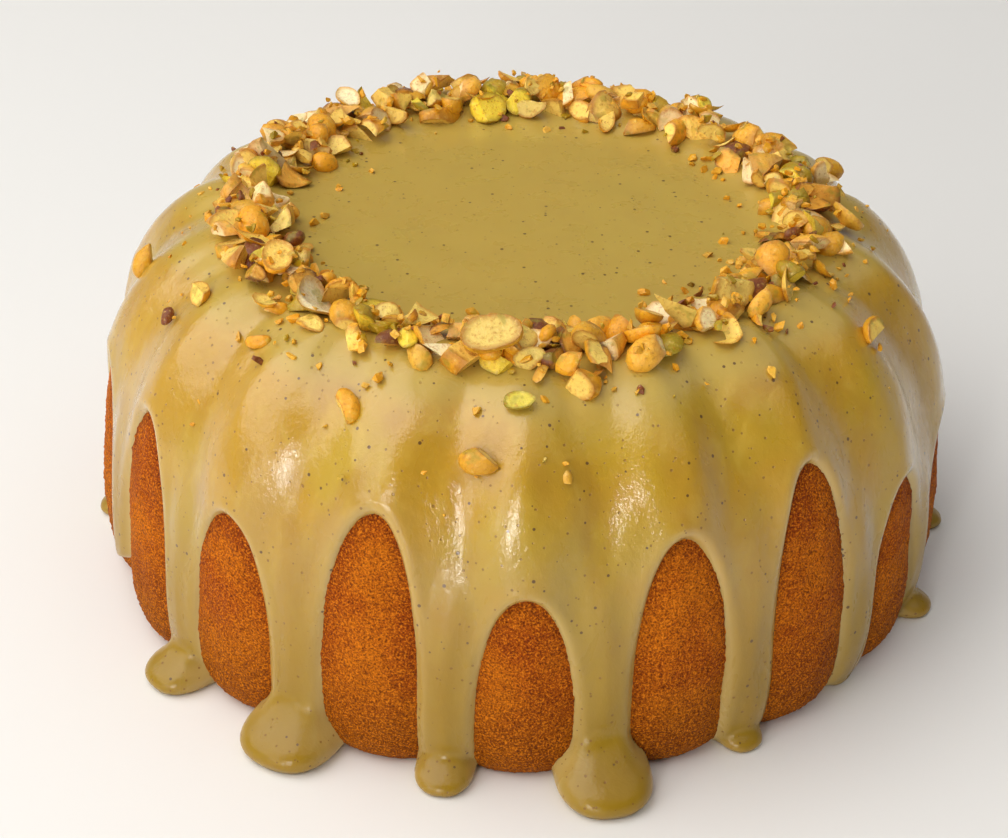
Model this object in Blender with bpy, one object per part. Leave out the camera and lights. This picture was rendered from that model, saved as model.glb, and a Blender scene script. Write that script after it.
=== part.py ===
# Fluted sponge cake under a poured pistachio cream, with a ring of chopped pistachios on its rim.
# Metres, +Z up. The origin is at the middle of the flat base. The photographed side faces -Y.
# Three solids: the sponge, the cream that is poured over it with its pool, drips and puddles, and the nut ring.

import bmesh
import bpy
import numpy as np
from mathutils import Matrix, Vector

MM = 0.001
GAP = 0.3 * MM  # clear space kept between two solids

# Driving sizes of the baked sponge
LOBES = 18
CREST_RADIUS = 120 * MM  # widest radius, on the crests of the lobes
SPONGE_HEIGHT = 98 * MM  # to the rim under the cream
LOBE_DEPTH = 8.5 * MM  # from a crest in to a valley, on the wall
LOBE_FADE = (64 * MM, 112 * MM)  # radii between which the lobes grow from nothing to full depth
# Lobes that stand a little off their even places, by lobe number, in degrees; lobe 0 faces -Y
LOBE_SHIFTS = {-4: 2.0, -3: 2.1, -2: 1.2, -1: 1.8, 0: 0.6, 1: -0.2, 2: -0.9, 3: -2.2, 4: -1.6}
WELL_FLOOR = 84 * MM
WELL_RADIUS = 62 * MM

# Driving sizes of the cream
COAT = 2.4 * MM  # thickness on the crests
VALLEY_DEPTH = 4.6 * MM  # how far the cream's surface dips over a valley
DRIP_BULGE = 2.2 * MM  # how far a drip swells out of its valley between two windows
POOL_HEIGHT = 97.4 * MM
POOL_RADIUS = 62 * MM
EDGE_ROUNDING = 3.0 * MM  # width of the rounded edge of the cream
EDGE_DIP = 1.5 * MM  # how far the poured surface dives into the sponge where the sponge shows
WINDOW_HALF_WIDTH = 13.2 * MM
WINDOW_SHOULDER = 0.36  # share of the window's height below which its sides are upright

# Tops of the bare windows on the lobes seen from the front, by lobe number; lobe 0 faces -Y
WINDOW_TOPS = {-4: 66, -3: 70, -2: 60, -1: 72, 0: 55, 1: 67, 2: 75, 3: 56, 4: 53}
# Puddles at the feet of the drips seen from the front: valley number, distance of the middle from the axis, radius
PUDDLES = {0: (122.5, 12.6), 1: (116, 6.2), -1: (119, 8.2), -2: (120.5, 12.4), -3: (119.5, 9.6), 3: (118, 6.4),
           4: (120, 6.0), 2: (112, 5.0)}
# Valley number and height of the tip of a drip that ends above the base
SHORT_DRIPS = {-4: 14}

# Chopped pistachios
RING_RADIUS = 76 * MM
RING_HALF_WIDTH = 11.0 * MM
RING_HEIGHT = 4.2 * MM
PIECES_ON_RING = 62
PIECE_LENGTH = (9 * MM, 15 * MM)
RING_STEPS = 36
RING_GAP = 0.6 * MM  # clear space under the ring, which is cut with a coarser copy of the cream
# Loose pieces lying on the cream: angle from the front in degrees, distance from the axis, length
LOOSE_PIECES = [(-23.5, 99, 9.5), (-6.5, 110, 8.5), (58.5, 103, 9.5), (0.5, 92, 7.5), (-83, 103, 10), (-62, 94, 8),
                (-45, 93, 7), (118, 101, 9), (164, 97, 9), (-140, 104, 8)]

# Places of a shell's columns across a lobe: 0 is the crest, -1 and 1 are the valleys
SPONGE_COLUMNS = (-1.0, -0.667, -0.333, 0.0, 0.333, 0.667)
RING_COLUMNS = (-1.0, -0.5, 0.0, 0.5)
POUR_COLUMNS = (-1.0, -0.72, -0.48, -0.26, 0.0, 0.26, 0.48, 0.72)
WINDOW_EDGE = 2.6 * MM  # the pour's rows run this far above and below the arch of a window
rng = np.random.default_rng(7)


def clear_scene():
    for item in list(bpy.data.objects):
        bpy.data.objects.remove(item, do_unlink=True)


def food_material(name, color, roughness):
    material = bpy.data.materials.new(name)
    material.use_nodes = True
    shader = material.node_tree.nodes["Principled BSDF"]
    shader.inputs["Base Color"].default_value = (*color, 1.0)
    shader.inputs["Roughness"].default_value = roughness
    shader.inputs["Metallic"].default_value = 0.0
    material.diffuse_color = (*color, 1.0)
    return material


def smooth_step(low, high, value):
    share = np.clip((value - low) / (high - low), 0.0, 1.0)
    return share * share * (3.0 - 2.0 * share)


def curve_through(points, steps):
    """Catmull-Rom curve through the points, with that many steps in each span."""
    knots = np.array([points[0], *points, points[-1]], float)
    spans = []
    for a, b, c, d in zip(knots, knots[1:], knots[2:], knots[3:]):
        t = np.arange(steps)[:, None] / steps
        spans.append(0.5 * (2 * b + (c - a) * t + (2 * a - 5 * b + 4 * c - d) * t**2 + (3 * b - a - 3 * c + d) * t**3))
    return np.vstack([*spans, knots[-1:]])


def wall_line(steps):
    """The crest of a lobe from the base up the wall and over the shoulder to the rim, as radius and height."""
    wall = [(115.5, 0), (118.5, 4.5), (120, 15), (119.6, 30), (117.4, 50), (113.2, 68), (106, 82), (95.8, 92.5), (84, 97.6)]
    return curve_through(np.array(wall) / 120 * CREST_RADIUS, steps)


def sponge_line(lift=0.0):
    """The sponge's line up to the floor of its well, the same at every angle; lift raises that floor."""
    rim = [(0.57 * CREST_RADIUS, 0.965 * SPONGE_HEIGHT), (WELL_RADIUS, WELL_FLOOR + lift)]
    wall = wall_line(1)
    line = np.vstack([np.delete(wall, -2, axis=0), rim])
    return line, line_normals(line)


def pour_line(angle):
    """The pour's line at an angle. Two of its rows follow the arch of the bare window, so that its edge comes out clean."""
    wall = wall_line(12)
    arch = float(window_arch(np.array(angle)))
    shoulder = 84 / 98 * SPONGE_HEIGHT
    low, high = arch - WINDOW_EDGE, arch + WINDOW_EDGE
    step = (shoulder - high) / 3
    rows = [0.0, 4.0 * MM, 0.55 * low, low, high, high + step, high + 2 * step, shoulder,
            0.944 * SPONGE_HEIGHT, wall[-1, 1]]
    normals = line_normals(wall)
    wall_rows = np.column_stack([np.interp(rows, wall[:, 1], wall[:, 0]), rows])
    wall_normals = np.column_stack([np.interp(rows, wall[:, 1], normals[:, 0]), np.interp(rows, wall[:, 1], normals[:, 1])])
    rim = [(0.64 * CREST_RADIUS, SPONGE_HEIGHT - 0.2 * MM), (0.57 * CREST_RADIUS, SPONGE_HEIGHT - 1.6 * MM),
           (POOL_RADIUS, POOL_HEIGHT - COAT)]
    rim_normals = [(0.05, 1.0), (-0.15, 1.0), (-0.1, 1.0)]
    normals = np.vstack([wall_normals, rim_normals])
    return np.vstack([wall_rows, rim]), normals / np.linalg.norm(normals, axis=1, keepdims=True)


def line_normals(line):
    along = np.gradient(line, axis=0)
    normals = np.column_stack([along[:, 1], -along[:, 0]])
    normals[0] = (1.0, 0.0)
    return normals / np.linalg.norm(normals, axis=1, keepdims=True)


def lobe_of(angle):
    """Number of the nearest lobe, and the place across it: 0 on the crest, 1 or -1 in the valleys."""
    pitch = 2 * np.pi / LOBES
    number = np.round(angle / pitch)
    return number.astype(int), (angle / pitch - number) * 2.0


def shifted(angle):
    """The angle at which a point stands once the lobes are moved off their even places."""
    lobes = np.arange(-LOBES // 2, LOBES // 2 + 1)
    shifts = [LOBE_SHIFTS.get(lobe, 0.0) for lobe in lobes]
    return angle + np.radians(np.interp(angle, lobes * 2 * np.pi / LOBES, shifts))


def lobe_depth(radius):
    return LOBE_DEPTH * smooth_step(*LOBE_FADE, radius)


def sponge_dip(across, radius):
    """Round lobes that meet in sharp valleys."""
    reach = 0.96
    arc = (1.0 - np.sqrt(1.0 - (reach * across) ** 2)) / (1.0 - np.sqrt(1.0 - reach**2))
    return lobe_depth(radius) * arc


def window_top(number):
    """Height of the top of a bare window. Those at the back follow a rule of their own."""
    turn = (number + LOBES // 2) % LOBES - LOBES // 2
    return np.where(np.isin(turn, list(WINDOW_TOPS)),
                    np.vectorize(lambda k: WINDOW_TOPS.get(k, 0))(turn),
                    63.0 + 9.0 * np.sin(2.4 * turn + 0.7)) * MM


def window_half_width(number):
    return WINDOW_HALF_WIDTH * (1.0 + 0.05 * np.sin(3.1 * number))


def window_arch(angle):
    """Height of a bare window's upper edge at an angle; beside the window, the height of its shoulders."""
    number, across = lobe_of(angle)
    top = window_top(number)
    x = across * np.pi / LOBES * CREST_RADIUS / window_half_width(number)
    return top * (WINDOW_SHOULDER + (1.0 - WINDOW_SHOULDER) * np.sqrt(np.clip(1.0 - x * x, 0.0, 1.0)))


def edge_distance(angle, radius, height):
    """Distance from the edge of a bare window or of a short drip's tip, positive where there is cream."""
    number, across = lobe_of(angle)
    pitch = 2 * np.pi / LOBES
    half_width = window_half_width(number)
    top = window_top(number)
    shoulder = top * WINDOW_SHOULDER
    x = across * pitch / 2 * radius
    rise = np.maximum(height - shoulder, 0.0)
    form = (x / half_width) ** 2 + (rise / (top - shoulder)) ** 2 - 1.0
    slope = 2 * np.hypot(x / half_width**2, rise / (top - shoulder) ** 2)
    distance = form / np.maximum(slope, 1e-4)
    for valley, tip in SHORT_DRIPS.items():
        away = angle - (valley + 0.5) * pitch
        round_tip = 5.5 * MM
        below = tip * MM + round_tip - height
        inside = round_tip - np.hypot(away * radius, np.maximum(below, 0.0))
        near = (np.abs(away) < pitch / 2) & (below > 0)
        distance = np.where(near, np.minimum(distance, inside), distance)
    return distance


def pour_offset(angle, radius, height):
    """How far the poured surface stands off the crest line."""
    number, across = lobe_of(angle)
    depth = lobe_depth(radius)
    surface = COAT - depth * VALLEY_DEPTH / LOBE_DEPTH * (1.0 - np.cos(np.pi * across)) / 2
    between_windows = 1.0 - smooth_step(0.7, 1.15, height / window_top(number))
    surface += DRIP_BULGE * between_windows * (1.0 - smooth_step(0.0, 0.45, 1.0 - np.abs(across)))
    bare = -sponge_dip(across, radius) - EDGE_DIP
    covered = smooth_step(-EDGE_ROUNDING, EDGE_ROUNDING, edge_distance(angle, radius, height))
    return bare + (surface - bare) * covered


def closed_shell(name, line_at, offset, places):
    """A solid turned from line_at(angle), each point moved along the line's normal by offset(angle, radius, height)."""
    pitch = 2 * np.pi / LOBES
    columns = [(lobe, place) for lobe in range(LOBES) for place in places]
    grid = []
    for lobe, place in columns:
        angle = (lobe + place / 2) * pitch - np.pi
        line, normals = line_at(angle)
        move = offset(np.full(len(line), angle), line[:, 0], line[:, 1])
        moved = line + normals * move[:, None]
        moved[0, 1] = 0.0
        turn = shifted(angle)
        grid.append(np.column_stack([moved[:, 0] * np.sin(turn), -moved[:, 0] * np.cos(turn), np.maximum(moved[:, 1], 0.0)]))
    mesh = bmesh.new()
    rings = [[mesh.verts.new(column[row]) for column in grid] for row in range(len(grid[0]))]
    count = len(columns)
    for lower, upper in zip(rings, rings[1:]):
        for i in range(count):
            j = (i + 1) % count
            if columns[i][1] >= 0:
                mesh.faces.new((lower[i], lower[j], upper[i]))
                mesh.faces.new((lower[j], upper[j], upper[i]))
            else:
                mesh.faces.new((lower[i], lower[j], upper[j]))
                mesh.faces.new((lower[i], upper[j], upper[i]))
    mesh.faces.new(list(reversed(rings[0])))
    middle = mesh.verts.new((0.0, 0.0, float(np.mean([column[-1, 2] for column in grid]))))
    for i in range(count):
        mesh.faces.new((rings[-1][i], rings[-1][(i + 1) % count], middle))
    return mesh_object(name, mesh)


def mesh_object(name, mesh):
    bmesh.ops.recalc_face_normals(mesh, faces=mesh.faces)
    data = bpy.data.meshes.new(name)
    mesh.to_mesh(data)
    mesh.free()
    item = bpy.data.objects.new(name, data)
    bpy.context.scene.collection.objects.link(item)
    return item


def puddle(valley, centre, size, steps):
    """A foot of cream: a drop on the floor, drawn in towards the sponge, that narrows upwards into its drip."""
    outline = [(0.90, 0.0), (1.0, 0.2), (0.93, 0.48), (0.66, 0.85), (0.40, 1.6)]
    middle_lobe = (valley + LOBES // 2) % LOBES - LOBES // 2
    angle = shifted((middle_lobe + 0.5) * 2 * np.pi / LOBES)
    outward = Vector((np.sin(angle), -np.cos(angle), 0.0))
    wall, root = 112.5 * MM, 103 * MM
    across = Vector((-outward.y, outward.x, 0.0))
    mesh = bmesh.new()
    rings = []
    for width, rise in outline:
        lean = smooth_step(0.2, 1.4, np.array(rise))
        middle = centre * MM * (1 - lean) + wall * lean
        ring = []
        for i in range(steps):
            turn = 2 * np.pi * (i + 0.5) / steps
            reach = width * size * MM if np.cos(turn) > 0 else max(width * size * MM, middle - root)
            place = outward * (middle + reach * np.cos(turn)) + across * width * size * MM * np.sin(turn)
            ring.append(mesh.verts.new(place + Vector((0, 0, rise * size * MM))))
        rings.append(ring)
    for lower, upper in zip(rings, rings[1:]):
        for i in range(steps):
            j = (i + 1) % steps
            mesh.faces.new((lower[i], lower[j], upper[j], upper[i]))
    mesh.faces.new(list(reversed(rings[0])))
    mesh.faces.new(rings[-1])
    return mesh_object(f"puddle_{valley}", mesh)


def nut_piece(name, place, up, length):
    """A chopped bit of nut: the convex hull of an uneven five-sided foot and a smaller three-sided top."""
    mesh = bmesh.new()
    points = []
    for sides, width, rise in ((5, 1.0, -0.2), (3, 0.6, 0.28)):
        turns = (np.arange(sides) + rng.uniform(-0.3, 0.3, sides) + rng.uniform()) * 2 * np.pi / sides
        points += [(0.5 * width * np.cos(t), 0.36 * width * np.sin(t), rise + rng.uniform(-0.06, 0.06)) for t in turns]
    points = np.array(points) * length
    turn = Vector(up).to_track_quat("Z", "Y").to_matrix()
    spin = rng.uniform(0, 2 * np.pi)
    lean = rng.uniform(-0.5, 0.5)
    axes = turn @ rotation("Z", spin) @ rotation("X", lean)
    for point in points:
        mesh.verts.new(axes @ Vector(point) + Vector(place))
    bmesh.ops.convex_hull(mesh, input=mesh.verts)
    bmesh.ops.delete(mesh, geom=[v for v in mesh.verts if not v.link_faces], context="VERTS")
    return mesh_object(name, mesh)


def rotation(axis, angle):
    return Matrix.Rotation(angle, 3, axis)


def pour_surface(angle, radius):
    """Height and outward normal of the poured surface at an angle and distance from the axis, on rim and shoulder."""
    line, normals = pour_line(angle)
    move = pour_offset(np.full(len(line), angle), line[:, 0], line[:, 1])
    top = line + normals * move[:, None]
    order = np.argsort(top[:, 0])
    high = order[top[order, 1] > 0.4 * SPONGE_HEIGHT]
    height = np.interp(radius, top[high, 0], top[high, 1])
    out = np.interp(radius, top[high, 0], normals[high, 0])
    up = np.interp(radius, top[high, 0], normals[high, 1])
    return height, Vector((out * np.sin(angle), -out * np.cos(angle), up)).normalized()


def ring_outline(angle):
    """Half width and height of the heap of nuts: narrow at the front, fuller at the sides and the back."""
    fuller = 0.5 * (1.0 - np.cos(angle))
    uneven = 0.10 * np.sin(5 * angle + 1.0) + 0.07 * np.sin(11 * angle)
    return RING_HALF_WIDTH * (0.82 + 0.22 * fuller + uneven), RING_HEIGHT * (0.9 + 0.15 * fuller + uneven)


def nut_core():
    mesh = bmesh.new()
    rings = []
    section = [(-0.95, -1.1), (-0.8, 0.0), (-0.3, 0.5), (0.3, 0.5), (0.8, -0.1), (0.95, -1.5)]
    for i in range(RING_STEPS):
        angle = 2 * np.pi * i / RING_STEPS
        half, tall = ring_outline(angle)
        ring = []
        for x, z in section:
            r = RING_RADIUS + x * half
            ring.append(mesh.verts.new((r * np.sin(angle), -r * np.cos(angle), SPONGE_HEIGHT + COAT + z * tall)))
        rings.append(ring)
    for i in range(RING_STEPS):
        one, other = rings[i], rings[(i + 1) % RING_STEPS]
        for j in range(len(section)):
            k = (j + 1) % len(section)
            mesh.faces.new((one[j], one[k], other[k], other[j]))
    return mesh_object("nut_ring", mesh)


def ring_pieces():
    """Pieces placed round the ring by the golden angle, so that they spread evenly, with a seeded scatter."""
    golden = np.pi * (3 - np.sqrt(5))
    pieces = []
    for i in range(PIECES_ON_RING):
        angle = i * golden
        half, tall = ring_outline(angle)
        across = rng.uniform(-0.95, 0.95)
        radius = RING_RADIUS + across * half
        height = pour_surface(angle, radius)[0] + tall * (0.9 - 0.55 * across**2)
        lean = Vector((across * np.sin(angle), -across * np.cos(angle), 1.4)).normalized()
        place = (radius * np.sin(angle), -radius * np.cos(angle), height)
        pieces.append(nut_piece(f"piece_{i}", place, lean, rng.uniform(*PIECE_LENGTH)))
    return pieces


def loose_pieces():
    pieces = []
    for i, (degrees, radius, length) in enumerate(LOOSE_PIECES):
        angle = np.radians(degrees)
        height, normal = pour_surface(angle, radius * MM)
        turn = shifted(angle)
        place = Vector((radius * MM * np.sin(turn), -radius * MM * np.cos(turn), height))
        pieces.append(nut_piece(f"loose_{i}", place + normal * 0.12 * length * MM, normal, length * MM))
    return pieces


def apply_boolean(item, operation, other=None, group=None):
    cut = item.modifiers.new("join", "BOOLEAN")
    cut.operation = operation
    cut.solver = "EXACT"
    if group:
        cut.operand_type = "COLLECTION"
        cut.collection = group
        cut.use_self = True
    else:
        cut.object = other
    graph = bpy.context.evaluated_depsgraph_get()
    result = bpy.data.meshes.new_from_object(item.evaluated_get(graph))
    item.modifiers.clear()
    item.data = result


def fuse(item, others):
    """Joins the other objects to item as one body, and removes them."""
    group = bpy.data.collections.new("to_fuse")
    bpy.context.scene.collection.children.link(group)
    for other in others:
        bpy.context.scene.collection.objects.unlink(other)
        group.objects.link(other)
    apply_boolean(item, "UNION", group=group)
    for other in others:
        bpy.data.objects.remove(other, do_unlink=True)
    bpy.data.collections.remove(group)


def cut_away(item, cutter):
    apply_boolean(item, "DIFFERENCE", other=cutter)
    bpy.data.objects.remove(cutter, do_unlink=True)


def keep_largest(item):
    """Drops loose scraps: only the body with the most corners stays. Points closer than 0.02 mm are merged first."""
    mesh = bmesh.new()
    mesh.from_mesh(item.data)
    bmesh.ops.remove_doubles(mesh, verts=mesh.verts, dist=0.02 * MM)
    bmesh.ops.dissolve_degenerate(mesh, edges=mesh.edges, dist=0.01 * MM)
    bmesh.ops.triangulate(mesh, faces=mesh.faces)
    left = set(mesh.verts)
    bodies = []
    while left:
        found = {left.pop()}
        edge = list(found)
        while edge:
            near = {e.other_vert(v) for v in edge for e in v.link_edges} - found
            found |= near
            edge = list(near)
        left -= found
        bodies.append(found)
    largest = max(bodies, key=len)
    scraps = [v for body in bodies if body is not largest for v in body]
    bmesh.ops.delete(mesh, geom=scraps, context="VERTS")
    mesh.to_mesh(item.data)
    mesh.free()
    return len(bodies)


def finish(item, material):
    item.data.materials.clear()
    item.data.materials.append(material)
    item.data.shade_smooth()
    item.data.set_sharp_from_angle(angle=np.radians(50))


def sponge_offset(extra):
    return lambda angle, radius, height: extra - sponge_dip(lobe_of(angle)[1], radius)


def build():
    clear_scene()
    crust = food_material("golden_crust", (0.52, 0.20, 0.045), 0.72)
    cream = food_material("pistachio_cream", (0.55, 0.46, 0.16), 0.28)
    nut = food_material("toasted_pistachio", (0.68, 0.38, 0.10), 0.55)

    sponge = closed_shell("sponge", lambda angle: sponge_line(), sponge_offset(0.0), SPONGE_COLUMNS)
    finish(sponge, crust)

    glaze = closed_shell("pistachio_cream", pour_line, pour_offset, POUR_COLUMNS)
    feet = [puddle(valley, centre, size, 10) for valley, (centre, size) in PUDDLES.items()]
    for valley in range(5, LOBES - 4):
        size = 7.5 + 3.5 * np.sin(1.9 * valley)
        feet.append(puddle(valley, 116 + 0.4 * size, size, 8))
    fuse(glaze, feet)
    loose = loose_pieces()
    fuse(glaze, loose)
    grown = closed_shell("grown_sponge", lambda angle: sponge_line(GAP), sponge_offset(GAP), SPONGE_COLUMNS)
    cut_away(glaze, grown)
    print("cream bodies", keep_largest(glaze))
    finish(glaze, cream)

    ring = nut_core()
    fuse(ring, ring_pieces())
    lifted = closed_shell("lifted_cream", pour_line, lambda a, r, z: RING_GAP + pour_offset(a, r, z), RING_COLUMNS)
    cut_away(ring, lifted)
    print("nut bodies", keep_largest(ring))
    finish(ring, nut)
    for item in (sponge, glaze, ring):
        print(item.name, len(item.data.polygons), "faces")


build()
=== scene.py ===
import bmesh
import bpy
import numpy as np
from mathutils import Matrix, Vector


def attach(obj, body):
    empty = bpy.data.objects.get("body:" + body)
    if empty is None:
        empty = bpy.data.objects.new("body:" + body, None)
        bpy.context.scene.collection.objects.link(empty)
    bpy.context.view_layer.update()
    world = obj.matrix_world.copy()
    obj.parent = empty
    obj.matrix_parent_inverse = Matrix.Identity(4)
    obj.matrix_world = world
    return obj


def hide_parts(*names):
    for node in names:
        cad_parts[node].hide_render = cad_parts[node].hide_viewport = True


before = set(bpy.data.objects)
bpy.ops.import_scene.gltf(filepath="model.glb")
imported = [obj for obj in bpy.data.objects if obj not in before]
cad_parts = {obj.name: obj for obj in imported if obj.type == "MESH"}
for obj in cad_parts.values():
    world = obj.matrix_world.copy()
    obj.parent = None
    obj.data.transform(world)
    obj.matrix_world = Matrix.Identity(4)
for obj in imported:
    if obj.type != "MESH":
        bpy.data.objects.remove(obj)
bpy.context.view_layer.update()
mm = 0.001

cake = {
    "lobes": 18,
    "lobeDepth": 8.5 * mm,
    "fade": (64 * mm, 112 * mm),  # radii between which the lobes grow to full depth
    # crest of a lobe: radius and height in mm, from the base over the shoulder to the rim
    "wall": [(115.5, 0), (118.5, 4.5), (120, 15), (119.6, 30), (117.4, 50), (113.2, 68), (106, 82),
             (95.8, 92.5), (84, 97.6)],
    "windowTops": {-4: 66, -3: 70, -2: 60, -1: 72, 0: 55, 1: 67, 2: 75, 3: 56, 4: 53},  # mm, by lobe
    # lobes that stand a little off their even places, in degrees
    "shifts": {-4: 2.0, -3: 2.1, -2: 1.2, -1: 1.8, 0: 0.6, 1: -0.2, 2: -0.9, 3: -2.2, 4: -1.6},
    "windowHalf": 13.2 * mm,
    "shoulder": 0.36,  # share of a window's height below which its sides are upright
}
pitch = 2 * np.pi / cake["lobes"]
outerArc = 0.118  # radius at which lengths round the cake are measured


def smoothStep(low, high, value):
    # rises from 0 at low to 1 at high, level at both ends: three squares less two cubes of the share between
    share = np.clip((value - low) / (high - low), 0.0, 1.0)
    return share * share * (3.0 - 2.0 * share)


def shifted(angle):
    # the angle at which a point stands once the lobes are moved, by a share of both shifts between two crests
    half = cake["lobes"] // 2
    lobes = np.arange(-half, half + 1)
    shifts = [cake["shifts"].get(int(k), 0.0) for k in lobes]
    return angle + np.radians(np.interp(angle, lobes * pitch, shifts))


def curveThrough(points, steps):
    # Catmull-Rom curve through the points
    knots = np.array([points[0], *points, points[-1]], float)
    t = np.arange(steps)[:, None] / steps
    spans = [0.5 * (2 * b + (c - a) * t + (2 * a - 5 * b + 4 * c - d) * t**2 + (3 * b - a - 3 * c + d) * t**3)
             for a, b, c, d in zip(knots, knots[1:], knots[2:], knots[3:])]
    return np.vstack([*spans, knots[-1:]])


def lineNormals(line):
    # the line's direction turned by a right angle to the outside
    along = np.gradient(line, axis=0)
    normals = np.column_stack([along[:, 1], -along[:, 0]])
    normals /= np.linalg.norm(normals, axis=1, keepdims=True)
    level = smoothStep(5 * mm, 22 * mm, line[:, 1])[:, None]  # near the base they are level
    normals = normals * level + np.array([[1.0, 0.0]]) * (1.0 - level)
    return normals / np.linalg.norm(normals, axis=1, keepdims=True)


def resample(line, spacing):
    # points along the line whose distance apart is spacing(point)
    gaps = np.linalg.norm(np.diff(line, axis=0), axis=1)
    wanted = np.array([spacing(p) for p in (line[1:] + line[:-1]) / 2])
    count = np.concatenate([[0.0], np.cumsum(gaps / wanted)])
    places = np.linspace(0, count[-1], int(np.ceil(count[-1])) + 1)
    return np.column_stack([np.interp(places, count, line[:, k]) for k in (0, 1)])


def lobeDepth(radius):
    # how deep the valleys are: nothing on top, all of it at the wall
    return cake["lobeDepth"] * smoothStep(*cake["fade"], radius)


def spongeDip(across, radius):
    # how far the sponge lies inside the crest line: a circle's arc from crest to valley, so that round lobes
    # meet in sharp valleys; across is 0 on a crest and 1 in a valley
    reach = 0.96
    arc = (1.0 - np.sqrt(1.0 - (reach * across) ** 2)) / (1.0 - np.sqrt(1.0 - reach**2))
    return lobeDepth(radius) * arc


def signedTurn(lobe):
    # the number of a lobe or valley counted from the front, from -9 to 8
    half = cake["lobes"] // 2
    return (lobe + half) % cake["lobes"] - half


def windowTop(lobe):
    # the height that is listed, and for the lobes behind a varied one
    turn = signedTurn(np.asarray(lobe))
    known = np.vectorize(lambda k: cake["windowTops"].get(k, 0.0), otypes=[float])(turn)
    return np.where(known > 0, known, 63.0 + 9.0 * np.sin(2.4 * turn + 0.7)) * mm


def windowHalf(lobe):
    # half the width of a window, varied by 5 percent
    return cake["windowHalf"] * (1.0 + 0.05 * np.sin(3.1 * signedTurn(np.asarray(lobe))))


def windowEdge(lobe, x, height):
    # distance outside the edge of a bare window, an upright oval on straight sides: the oval's equation over
    # its slope
    half, top = windowHalf(lobe), windowTop(lobe)
    shoulder = top * cake["shoulder"]
    rise = np.maximum(height - shoulder, 0.0)
    form = (x / half) ** 2 + (rise / (top - shoulder)) ** 2 - 1.0
    slope = 2 * np.hypot(x / half**2, rise / (top - shoulder) ** 2)
    return form / np.maximum(slope, 20.0)


def waves(seed, coordinates, sizes, count):
    # smooth unevenness between about -1 and 1: a sum of sines in random directions, of the given wave lengths
    draw = np.random.default_rng(seed)
    total = 0.0
    for _ in range(count):
        push = draw.uniform(0, 2 * np.pi)
        for value, size in zip(coordinates, sizes):
            push = push + value * draw.normal() * 2 * np.pi / size
        total = total + np.sin(push)
    return total / np.sqrt(count)


def meshObject(name, points, faces, material):
    # a smooth mesh that belongs to the cake
    mesh = bpy.data.meshes.new(name)
    mesh.from_pydata(points, [], faces)
    mesh.update()
    mesh.shade_smooth()
    item = bpy.data.objects.new(name, mesh)
    bpy.context.scene.collection.objects.link(item)
    mesh.materials.append(material)
    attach(item, "root")
    return item


def pointValue(mesh, name, values):
    # one number for each point, read by the material
    attribute = mesh.attributes.new(name, "FLOAT", "POINT")
    attribute.data.foreach_set("value", np.asarray(values, np.float32).ravel())


# Materials. A small helper adds a node, sets its plain inputs and links the rest.
class Nodes:
    def __init__(self, name):
        self.material = bpy.data.materials.new(name)
        self.material.use_nodes = True
        self.tree = self.material.node_tree
        self.shader = self.tree.nodes["Principled BSDF"]

    def add(self, kind, settings=None, **inputs):
        node = self.tree.nodes.new(kind)
        for key, value in (settings or {}).items():
            setattr(node, key, value)
        for key, value in inputs.items():
            self.put(node.inputs[int(key[1:]) if key[1:].isdigit() else key], value)
        return node

    def put(self, socket, value):
        if isinstance(value, bpy.types.NodeSocket):
            self.tree.links.new(value, socket)
        else:
            socket.default_value = value

    def place(self, z=1.0):
        # object coordinates in millimetres, with heights multiplied by z
        coordinates = self.add("ShaderNodeTexCoord").outputs["Object"]
        return self.add("ShaderNodeMapping", {"vector_type": "POINT"}, Vector=coordinates,
                        Scale=(1000, 1000, 1000 * z)).outputs["Vector"]

    def noise(self, where, scale, detail=2.0, roughness=0.5, distortion=0.0):
        return self.add("ShaderNodeTexNoise", Vector=where, Scale=scale, Detail=detail, Roughness=roughness,
                        Distortion=distortion).outputs["Fac"]

    def step(self, value, low, high, start=0.0, end=1.0):
        # start up to low, end from high on and a smooth change between
        inputs = {"Value": value, "From Min": low, "From Max": high, "To Min": start, "To Max": end}
        return self.add("ShaderNodeMapRange", {"interpolation_type": "SMOOTHSTEP"}, **inputs).outputs["Result"]

    def cells(self, where, scale):
        # distance to the nearest of scattered places, and that place's own random colour
        node = self.add("ShaderNodeTexVoronoi", {"feature": "F1"}, Vector=where, Scale=scale)
        return node.outputs["Distance"], node.outputs["Color"]

    def math(self, operation, a, b):
        return self.add("ShaderNodeMath", {"operation": operation}, _0=a, _1=b).outputs["Value"]

    def mix(self, share, a, b):
        return self.add("ShaderNodeMix", {"data_type": "RGBA"}, _0=share, _6=a, _7=b).outputs[2]

    def value(self, name):
        return self.add("ShaderNodeAttribute", {"attribute_name": name}).outputs["Fac"]

    def color(self, name):
        return self.add("ShaderNodeAttribute", {"attribute_name": name}).outputs["Color"]

    def bump(self, height, distance, strength=1.0, normal=None):
        node = self.add("ShaderNodeBump", Height=height, Distance=distance, Strength=strength)
        if normal is not None:
            self.put(node.inputs["Normal"], normal)
        return node.outputs["Normal"]

    def finish(self, **inputs):
        for key, value in inputs.items():
            self.put(self.shader.inputs[key.replace("_", " ")], value)
        return self.material


crustLook = {
    "golden": (0.42, 0.076, 0.002, 1), "deep": (0.20, 0.020, 0.001, 1), "light": (0.62, 0.155, 0.004, 1),
    "foot": (0.27, 0.068, 0.001, 1), "sand": (0.95, 0.30, 0.014, 1), "pit": (0.09, 0.013, 0.001, 1),
    # sizes of the patterns, as waves or cells to a millimetre
    "broad": 0.06, "patches": 0.35, "grain": 1.9, "pores": 1.1,
    "bump": 0.0009, "scatter": (0.002, 0.0008, 0.0003),
}


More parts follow.
